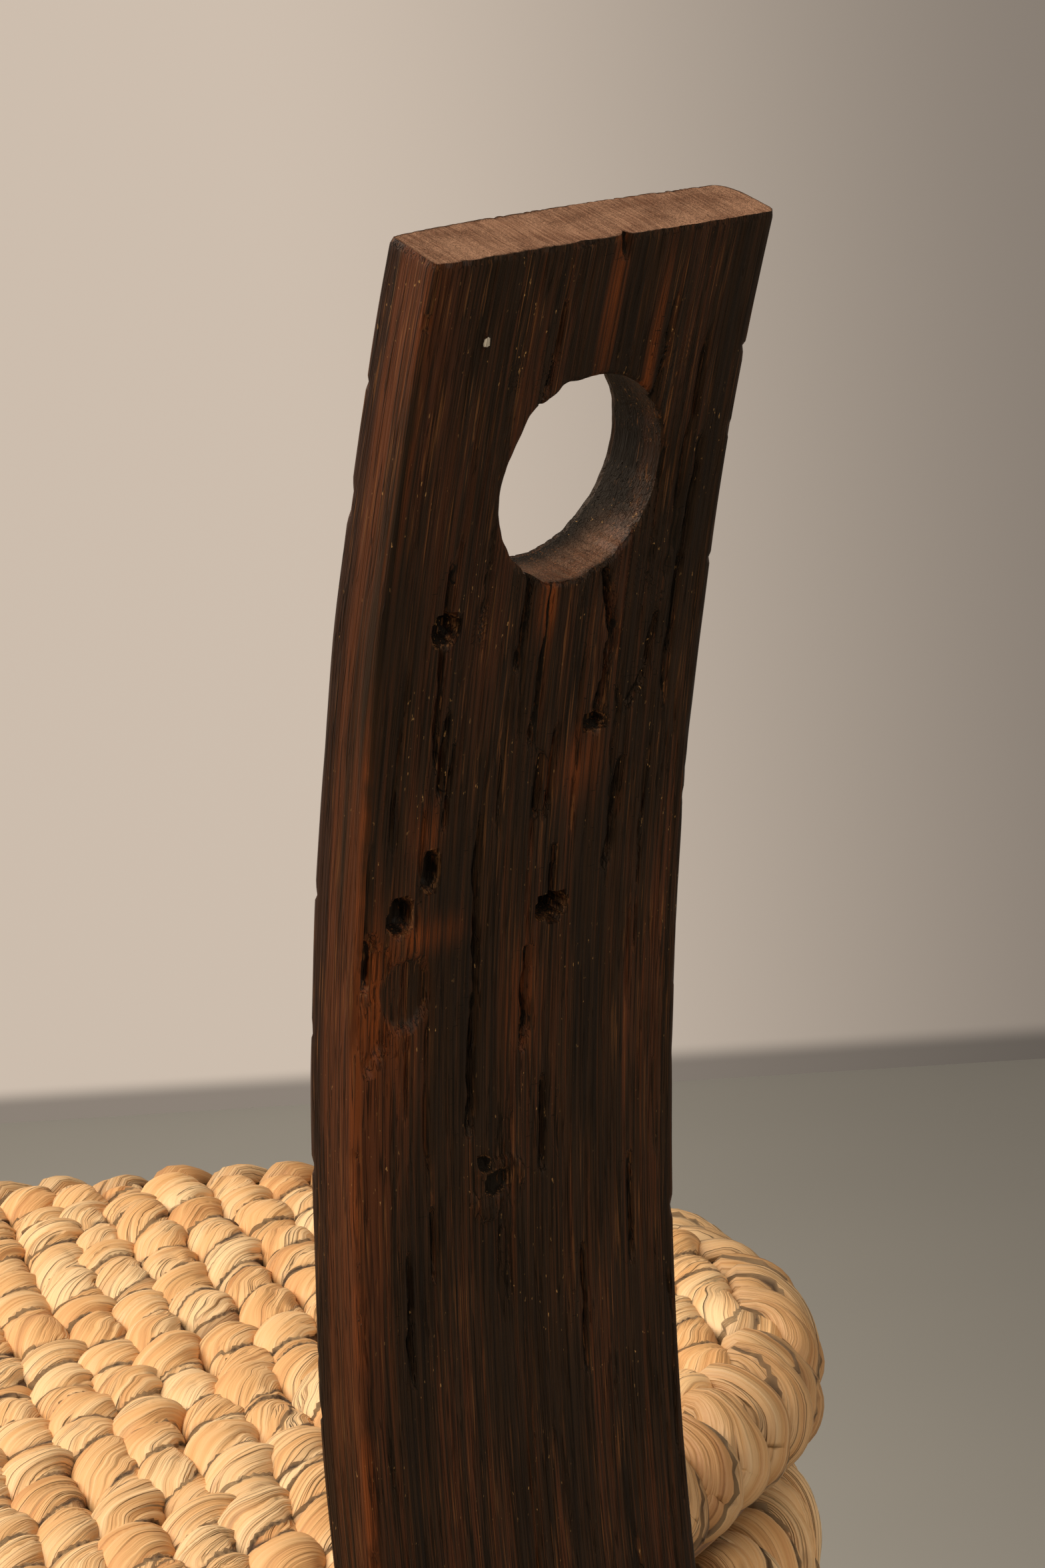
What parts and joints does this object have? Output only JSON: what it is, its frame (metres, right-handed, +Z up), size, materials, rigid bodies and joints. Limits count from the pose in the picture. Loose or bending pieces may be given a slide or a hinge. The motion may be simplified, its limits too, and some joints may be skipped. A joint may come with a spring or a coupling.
{
  "type": "fireside stool",
  "caption": "Low round fireside stool: bowed wooden staves as legs, a seat of twisted leaf cords on leaf-wrapped hoops, and a tall rear stave as the back, with a hand hole.",
  "frame": {"origin": "on the floor, in the middle of the stool's bounding box; the seat's axis is 46.5 mm in front of it", "axes": "+Z up, -Y towards the sitter's front, +Y towards the back stave"},
  "size_m": [0.5804, 0.533, 0.5815],
  "materials": {
    "stave_wood": "dark, waxed, worn",
    "hoop_wood": "bent, unpolished",
    "leaf_wrap": "twisted dry leaf",
    "leaf_cord": "twisted dry leaf",
    "leaf_stuffing": "packed dry leaf",
    "bolt_steel": "darkened"
  },
  "bodies": {
    "root": {"back_stave": "stave_wood", "base_hoop": "hoop_wood", "base_hoop_wrap": "leaf_wrap", "bolt_nuts": "bolt_steel", "bolt_washers": "bolt_steel", "front_left_stave": "stave_wood", "front_right_stave": "stave_wood", "leaf_stuffing": "leaf_stuffing", "seat_cord_01": "leaf_cord", "seat_cord_02": "leaf_cord", "seat_cord_03": "leaf_cord", "seat_cord_04": "leaf_cord", "seat_cord_05": "leaf_cord", "seat_cord_06": "leaf_cord", "seat_cord_07": "leaf_cord", "seat_cord_08": "leaf_cord", "seat_cord_09": "leaf_cord", "seat_cord_10": "leaf_cord", "seat_cord_11": "leaf_cord", "seat_cord_12": "leaf_cord", "seat_cord_13": "leaf_cord", "seat_cord_14": "leaf_cord", "seat_cord_15": "leaf_cord", "seat_cord_16": "leaf_cord", "seat_cord_17": "leaf_cord", "seat_cord_18": "leaf_cord", "seat_cord_19": "leaf_cord", "seat_cord_20": "leaf_cord", "seat_cord_21": "leaf_cord", "seat_cord_22": "leaf_cord", "seat_cord_23": "leaf_cord", "seat_cord_24": "leaf_cord", "seat_cord_25": "leaf_cord", "seat_cord_26": "leaf_cord", "seat_cord_27": "leaf_cord", "seat_cord_28": "leaf_cord", "seat_cord_29": "leaf_cord", "seat_cord_30": "leaf_cord", "seat_cord_31": "leaf_cord", "seat_hoop": "hoop_wood", "seat_hoop_wrap": "leaf_wrap", "stave_bolts": "bolt_steel", "under_cords": "leaf_cord"}
  },
  "joints": []
}
